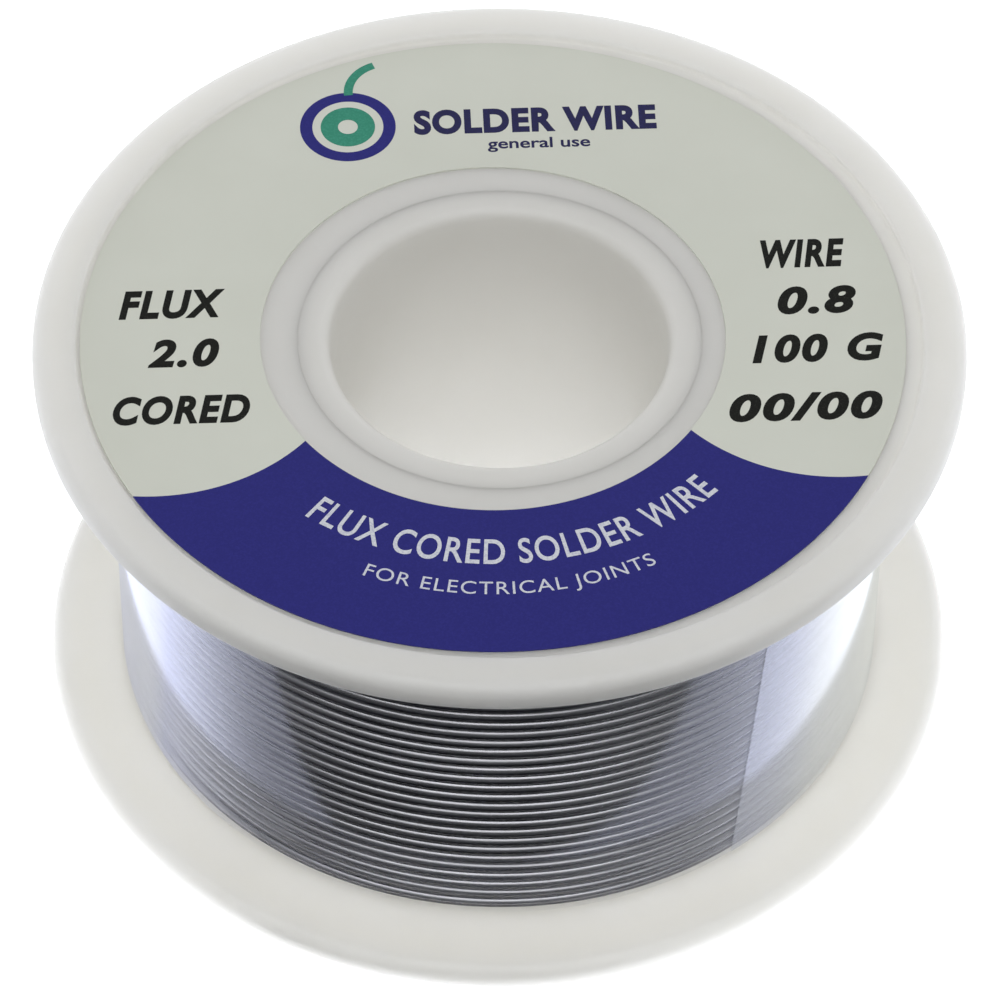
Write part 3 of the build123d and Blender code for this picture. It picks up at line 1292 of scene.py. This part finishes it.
    def _wobble(self, tree: bpy.types.NodeTree, size: bpy.types.NodeOutputs, turn: bpy.types.NodeSocket,
                crossings: Iterable[Crossing]) -> tuple[bpy.types.NodeSocket, bpy.types.NodeSocket]:
        """How far each point of the wire strays along the axis and out from it.

        Args:
            tree: the layer's tree.
            size: the tree's inputs.
            turn: how many turns up the point is.
            crossings: places where a turn leaves the even helix.

        Returns:
            The rise and the lift.
        """
        phase = add(tree, "ShaderNodeMath", {0: turn, 1: self.wanders_per_turn, 2: size["Seed"]},
                    operation="MULTIPLY_ADD")
        slow = add(tree, "ShaderNodeTexNoise", {"W": phase.outputs[0], "Scale": 1.0, "Detail": 1.0},
                   noise_dimensions="1D")
        fast = add(tree, "ShaderNodeTexNoise", {
            "W": phase.outputs[0], "Scale": self.ripples_per_wander, "Detail": 2.0}, noise_dimensions="1D")
        drift = add(tree, "ShaderNodeMath", {0: slow.outputs[0], 1: 0.5}, operation="SUBTRACT")
        rise = add(tree, "ShaderNodeMath", {0: drift.outputs[0], 1: size["Wander"]}, operation="MULTIPLY")
        shake = add(tree, "ShaderNodeMath", {0: fast.outputs[0], 1: 0.5}, operation="SUBTRACT")
        lift = add(tree, "ShaderNodeMath", {0: shake.outputs[0], 1: size["Ripple"]}, operation="MULTIPLY")
        rise_out, lift_out = rise.outputs[0], lift.outputs[0]
        for spot in crossings:
            away = add(tree, "ShaderNodeMath", {0: turn, 1: spot.turn}, operation="SUBTRACT")
            scaled = add(tree, "ShaderNodeMath", {0: away.outputs[0], 1: spot.width}, operation="DIVIDE")
            square = add(tree, "ShaderNodeMath", {0: scaled.outputs[0], 1: scaled.outputs[0]},
                         operation="MULTIPLY")
            fall = add(tree, "ShaderNodeMath", {0: square.outputs[0], 1: -1.0}, operation="MULTIPLY")
            hump = add(tree, "ShaderNodeMath", {0: fall.outputs[0]}, operation="EXPONENT")
            rise_out = add(tree, "ShaderNodeMath", {0: hump.outputs[0], 1: spot.rise, 2: rise_out},
                           operation="MULTIPLY_ADD").outputs[0]
            lift_out = add(tree, "ShaderNodeMath", {0: hump.outputs[0], 1: spot.lift, 2: lift_out},
                           operation="MULTIPLY_ADD").outputs[0]
        return rise_out, lift_out

    def _wind(self, tree: bpy.types.NodeTree, radius: float, foot: float, rise: float, steps: int, sides: int,
              seed: float, left: bool, looseness: float) -> bpy.types.Mesh:
        """Run a layer's tree and return the wire as a plain mesh.

        Args:
            tree: the layer's tree.
            radius: radius of the wire's centre line.
            foot: height of the first turn.
            rise: height from the first turn to the last.
            steps: points in each turn.
            sides: faces round the wire.
            seed: seed of the layer's unevenness.
            left: whether the layer is wound the other way.
            looseness: share of the outer layer's unevenness.

        Returns:
            The wound wire.
        """
        blank = bpy.data.meshes.new("blank")
        holder = bpy.data.objects.new("winder", blank)
        bpy.context.scene.collection.objects.link(holder)
        run = holder.modifiers.new("turns", "NODES")
        run.node_group = tree
        values = {
            "Radius": radius, "Foot": foot, "Rise": rise, "Turns": self.turns, "Wire radius": self.wire_r,
            "Wander": self.wander * looseness, "Ripple": self.ripple * looseness,
            "Seed": self.seed_step * seed, "Start angle": math.radians(self.end_deg), "Left hand": left,
            "Steps": steps, "Sides": sides}
        for item in tree.interface.items_tree:
            if item.in_out == "INPUT":
                run[item.identifier] = values[item.name]
        bpy.context.view_layer.update()
        evaluated = holder.evaluated_get(bpy.context.evaluated_depsgraph_get())
        mesh = bpy.data.meshes.new_from_object(evaluated)
        bpy.data.objects.remove(holder)
        return mesh

    def _flux(self, radius: float, height: float, finishes: Finishes) -> bpy.types.Object:
        """The flux that shows in the wire's cut end, as a short core just proud of the cut.

        Args:
            radius: radius of the wire's centre line.
            height: height of the last turn.
            finishes: the spool's finishes.

        Returns:
            The core.
        """
        bm = bmesh.new()
        bmesh.ops.create_cone(bm, cap_ends=True, segments=self.flux_sides, radius1=self.flux_r,
                              radius2=self.flux_r, depth=self.flux_length)
        end = math.radians(self.end_deg)
        place = Matrix.Translation((radius * math.cos(end), radius * math.sin(end), height))
        along = Matrix.Rotation(end, 4, "Z") @ Matrix.Rotation(math.pi / 2, 4, "X")
        bm.transform(place @ along)
        return seat("flux_core_at_end", to_mesh("flux_core_at_end", bm), finishes.flux,
                    ["flux_core_end"])


# ---------------------------------------------------------------- film

@dataclass
class FilmWrap:
    """The clear film round the winding; its outer end is a slanted edge at the front right.

    Angles named run or deg after an edge are counted from the film's outer edge,
    and a haze of 1 is the look of two plies that lie loose on each other; at its left side and just short of
    its outer edge the haze is painted sheen.
    """
    node: str = "film_wrap"
    wound_on: str = "wire_layer_7"
    gap: float = 0.06 * MM
    thick: float = 0.03 * MM
    edge_top_deg: float = -46.0
    edge_foot_deg: float = -53.0
    lap_deg: float = 72.0
    lift: float = 0.05 * MM
    loose_deg: float = 20.0
    ply_gap: float = 0.035 * MM
    ply_from_deg: float = -15.0
    ply_to_deg: float = 25.0
    edge_share: float = 0.1
    lap_blur_deg: float = 8.0
    edge_haze: float = 0.8
    edge_haze_deg: float = 18.0
    painted_seam_sheen: float = 0.26
    painted_seam_sheen_deg: float = 36.0
    # painted sheen on the film's left side
    painted_left_sheen: float = 0.9
    left_from_deg: float = 150.0
    left_full_deg: float = 190.0
    left_fade_deg: float = 256.0
    left_end_deg: float = 286.0
    rows: int = 24
    columns: int = 432
    sharp_deg: float = 60.0

    def build(self, finishes: Finishes) -> bpy.types.Object:
        """Wrap the film and mark where it stands off the wire and where sheen is painted on it.

        Args:
            finishes: the spool's finishes.

        Returns:
            The film piece.
        """
        low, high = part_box(self.node)
        inner_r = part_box(self.wound_on)[1].x + self.gap
        total = 360.0 + self.lap_deg
        grid = []
        hazes = []
        for i in range(self.rows + 1):
            share = i / self.rows
            z = low.z + (high.z - low.z) * share
            start = self.edge_foot_deg + (self.edge_top_deg - self.edge_foot_deg) * share
            row = []
            for j in range(self.columns + 1):
                run = total * j / self.columns
                angle = math.radians(start + run)
                stand = self._stand_off(run, share)
                row.append(((inner_r + stand) * math.cos(angle), (inner_r + stand) * math.sin(angle), z))
                hazes.append(self._haze(run))
            grid.append(row)
        bm = slab(grid, self._behind)
        self._feather(bm, grid)
        mesh = bpy.data.meshes.new(self.node)
        bm.to_mesh(mesh)
        bm.free()
        haze = mesh.attributes.new("haze", "FLOAT", "POINT")
        haze.data.foreach_set("value", hazes + hazes)
        return seat("film_wrap_sheet", mesh, finishes.film, [self.node], self.sharp_deg)

    def _feather(self, bm: bmesh.types.BMesh, grid: Sequence[Sequence[Point3]]) -> None:
        """Thin the film's outer edge, so that its cut face hardly shows.

        Args:
            bm: the closed sheet, its front points first.
            grid: the rows of points on its front.
        """
        bm.verts.ensure_lookup_table()
        width = self.columns + 1
        count = len(grid) * width
        for row in range(len(grid)):
            front, back = bm.verts[row * width], bm.verts[count + row * width]
            back.co = front.co.lerp(back.co, self.edge_share)

    def _stand_off(self, run: float, share: float) -> float:
        """How far the film lies out from its tight radius.

        Args:
            run: degrees after its outer edge.
            share: height, as a share of the film's.

        Returns:
            The distance, which grows near the outer edge and over the inner ply.
        """
        outer = self.ply_gap * ramp(run, self.lap_deg + self.ply_to_deg, self.lap_deg + self.ply_from_deg)
        free = run / self.loose_deg * math.exp(1 - run / self.loose_deg)
        return outer + self.lift * free * math.sin(math.pi * share)

    def _haze(self, run: float) -> float:
        """How milky the film looks.

        Args:
            How milky the film looks, with painted sheen at its left side and just short of its outer edge.

        Returns:
            The haze, from 0 to 1.
        """
        over_lap = ramp(run, self.lap_deg + self.lap_blur_deg, self.lap_deg - self.lap_blur_deg)
        near_edge = self.edge_haze + (1 - self.edge_haze) * ramp(run, 0.0, self.edge_haze_deg)
        # painted sheen on the single ply just short of the outer edge, where the inner ply comes out from
        # under it
        seam_sheen = self.painted_seam_sheen * max(0.0, 1.0 - abs(run - 360.0) / self.painted_seam_sheen_deg)
        # painted sheen: the left side is made milkier and more mirror-like than its tight lay gives, to
        # brighten it
        left = self.painted_left_sheen * ramp(run, self.left_end_deg, self.left_fade_deg)
        left *= ramp(run, self.left_from_deg, self.left_full_deg)
        return max(over_lap * near_edge, seam_sheen, left)

    def _behind(self, spot: Point3) -> Point3:
        """The point on the film's inner side that lies behind one on its outer side.

        Args:
            spot: the point on the outer side.

        Returns:
            The point on the inner side.
        """
        radius = math.hypot(spot[0], spot[1])
        share = (radius - self.thick) / radius
        return (spot[0] * share, spot[1] * share, spot[2])


# ---------------------------------------------------------------- studio

@dataclass
class Studio:
    """A light table inside a light tent, a black flag in front of the spool, and the camera.

    The ceiling's angles are counted from its own tilted axis, the backdrop's and
    the fill's from the horizon; walls and backdrop start and end at shares of x or y.
    """
    cloth: str = "#FCFDFF"
    sweep: float = 3.0
    table_cells: int = 8
    flag_gap: float = 1.1 * MM
    flag_reach: float = 1.0
    flag_depth: float = 1.2
    flag_lift: float = 0.2 * MM
    flag_left_deg: float = 240.0
    flag_steps: int = 16
    ceiling: float = 1.6
    ceiling_tilt_deg: float = 23.0
    ceiling_full_deg: float = 24.0
    ceiling_end_deg: float = 36.0
    backdrop: float = 0.8
    backdrop_top_deg: float = 22.0
    backdrop_end_deg: float = 38.0
    backdrop_from: float = -0.08
    backdrop_full: float = 0.25
    backdrop_above: float = 0.15
    right_wall: float = 0.5
    left_wall: float = 0.35
    wall_from: float = 0.7
    wall_full: float = 0.95
    fill_low: float = 0.08
    fill_high: float = 0.24
    fill_low_deg: float = 8.0
    fill_high_deg: float = 45.0
    camera_lens: float = 233.3
    camera_sensor: float = 36.0
    camera_near: float = 10.0 * MM
    camera_far: float = 391.4 * MM
    camera_elevation_deg: float = 48.65
    camera_roll_deg: float = 0.25
    shift_x: float = 0.001
    shift_y: float = -0.0115

    def build(self) -> None:
        """Lay the floor, light it and set the camera."""
        self._floor()
        self._flag()
        self._tent()
        self._camera(Vector((0, 0, (CAD_BOX[0].z + CAD_BOX[1].z) / 2)))

    def _floor(self) -> None:
        """A wide light table under the spool."""
        bm = bmesh.new()
        bmesh.ops.create_grid(bm, x_segments=self.table_cells, y_segments=self.table_cells,
                              size=self.sweep / 2)
        bm.transform(Matrix.Translation((0, 0, CAD_BOX[0].z)))
        mesh = to_mesh("light_table", bm)
        mesh.materials.append(LightTable().build())
        floor = bpy.data.objects.new("light_table", mesh)
        bpy.context.scene.collection.objects.link(floor)

    def _flag(self) -> None:
        """A cloth on the table, in front of the spool's foot, that the camera doesn't see."""
        foot_r = CAD_BOX[1].x + self.flag_gap
        first, last = math.radians(270.0), math.radians(self.flag_left_deg)
        edge = []
        for step in range(self.flag_steps + 1):
            angle = first + (last - first) * step / self.flag_steps
            edge.append((foot_r * math.cos(angle), foot_r * math.sin(angle)))
        corners = [(self.flag_reach, edge[0][1])] + edge + [
            (-self.flag_reach, edge[-1][1]), (-self.flag_reach, -self.flag_depth),
            (self.flag_reach, -self.flag_depth)]
        bm = bmesh.new()
        z = CAD_BOX[0].z + self.flag_lift
        bm.faces.new([bm.verts.new((x, y, z)) for x, y in reversed(corners)])
        bmesh.ops.triangulate(bm, faces=bm.faces)
        mesh = bpy.data.meshes.new("black_flag")
        bm.to_mesh(mesh)
        bm.free()
        mesh.materials.append(FlagCloth().build())
        flag = bpy.data.objects.new("black_flag", mesh)
        flag.visible_camera = False
        flag.visible_shadow = False
        bpy.context.scene.collection.objects.link(flag)

    def _tent(self) -> None:
        """A light tent: a ceiling leaning forward, a pale backdrop, and a dark opening at the camera."""
        world = bpy.data.worlds.new("light_tent")
        bpy.context.scene.world = world
        world.use_nodes = True
        tree = world.node_tree
        tree.nodes.clear()
        world_way = add(tree, "ShaderNodeTexCoord").outputs["Generated"]
        way = add(tree, "ShaderNodeSeparateXYZ", {0: world_way})
        tilt = math.radians(self.ceiling_tilt_deg)
        axis = add(tree, "ShaderNodeVectorMath", {0: world_way, 1: (0.0, -math.sin(tilt), math.cos(tilt))},
                   operation="DOT_PRODUCT")
        ceiling = add(tree, "ShaderNodeMapRange", {
            "Value": axis.outputs["Value"], FROM_MIN: math.cos(math.radians(self.ceiling_end_deg)),
            FROM_MAX: math.cos(math.radians(self.ceiling_full_deg)), TO_MAX: self.ceiling},
            interpolation_type="SMOOTHSTEP")
        behind = add(tree, "ShaderNodeMapRange", {
            "Value": way.outputs[1], FROM_MIN: self.backdrop_from, FROM_MAX: self.backdrop_full,
            TO_MAX: self.backdrop}, interpolation_type="SMOOTHSTEP")
        below = add(tree, "ShaderNodeMapRange", {
            "Value": way.outputs[2], FROM_MIN: math.sin(math.radians(self.backdrop_end_deg)),
            FROM_MAX: math.sin(math.radians(self.backdrop_top_deg)), TO_MIN: self.backdrop_above},
            interpolation_type="SMOOTHSTEP")
        backdrop = add(tree, "ShaderNodeMath", {0: behind.outputs[0], 1: below.outputs[0]},
                       operation="MULTIPLY")
        right = add(tree, "ShaderNodeMapRange", {
            "Value": way.outputs[0], FROM_MIN: self.wall_from, FROM_MAX: self.wall_full,
            TO_MAX: self.right_wall}, interpolation_type="SMOOTHSTEP")
        left = add(tree, "ShaderNodeMapRange", {
            "Value": way.outputs[0], FROM_MIN: -self.wall_from, FROM_MAX: -self.wall_full,
            TO_MAX: self.left_wall}, interpolation_type="SMOOTHSTEP")
        sides = add(tree, "ShaderNodeMath", {0: right.outputs[0], 1: left.outputs[0]}, operation="ADD")
        walls = add(tree, "ShaderNodeMath", {0: sides.outputs[0], 1: backdrop.outputs[0]}, operation="ADD")
        fill = add(tree, "ShaderNodeMapRange", {
            "Value": way.outputs[2], FROM_MIN: math.sin(math.radians(self.fill_low_deg)),
            FROM_MAX: math.sin(math.radians(self.fill_high_deg)), TO_MIN: self.fill_low,
            TO_MAX: self.fill_high}, interpolation_type="SMOOTHSTEP")
        lamps = add(tree, "ShaderNodeMath", {0: ceiling.outputs[0], 1: walls.outputs[0]}, operation="ADD")
        total = add(tree, "ShaderNodeMath", {0: lamps.outputs[0], 1: fill.outputs[0]}, operation="ADD")
        light = add(tree, "ShaderNodeBackground", {"Color": linear(self.cloth), "Strength": total.outputs[0]})
        add(tree, "ShaderNodeOutputWorld", {"Surface": light.outputs[0]})

    def _camera(self, target: Vector) -> None:
        """Set the camera in front of and above the spool.

        Args:
            target: the point that it looks at.
        """
        lens = bpy.data.cameras.new("camera")
        lens.lens = self.camera_lens
        lens.sensor_width = self.camera_sensor
        lens.clip_start = self.camera_near
        lens.shift_x = self.shift_x
        lens.shift_y = self.shift_y
        camera = bpy.data.objects.new("camera", lens)
        up = math.radians(self.camera_elevation_deg)
        offset = Vector((0, -math.cos(up), math.sin(up))) * self.camera_far
        look = (-offset).to_track_quat("-Z", "Y").to_matrix().to_4x4()
        roll = Matrix.Rotation(math.radians(self.camera_roll_deg), 4, "Z")
        camera.matrix_world = Matrix.Translation(target + offset) @ look @ roll
        bpy.context.scene.collection.objects.link(camera)
        bpy.context.scene.camera = camera


def dress_hidden_wire(finishes: Finishes) -> None:
    """Give the CAD pieces that stay, the wire's start and its flux, their finishes.

    Args:
        finishes: the spool's finishes.
    """
    for node, material in (("wire_start_tail", finishes.solder), ("flux_core_start", finishes.flux)):
        piece = frame["nodes"][node]
        piece.data.materials.clear()
        piece.data.materials.append(material)
        LOG.info("%s: kept from the frame", node)


def main() -> None:
    """Build the spool and its studio in order."""
    logging.basicConfig(level=logging.INFO, format="%(name)s %(message)s")
    finishes = Finishes()
    tube_r = Barrel().tube_r
    Flange("lower_flange", -1, tube_r).build(finishes)
    Flange("upper_flange", 1, tube_r).build(finishes)
    Barrel().build(finishes)
    RingLabel().build(finishes)
    Winding().build(finishes)
    FilmWrap().build(finishes)
    dress_hidden_wire(finishes)
    Studio().build()
    bpy.context.scene.view_settings.view_transform = "Standard"


if __name__ == "__main__":
    main()
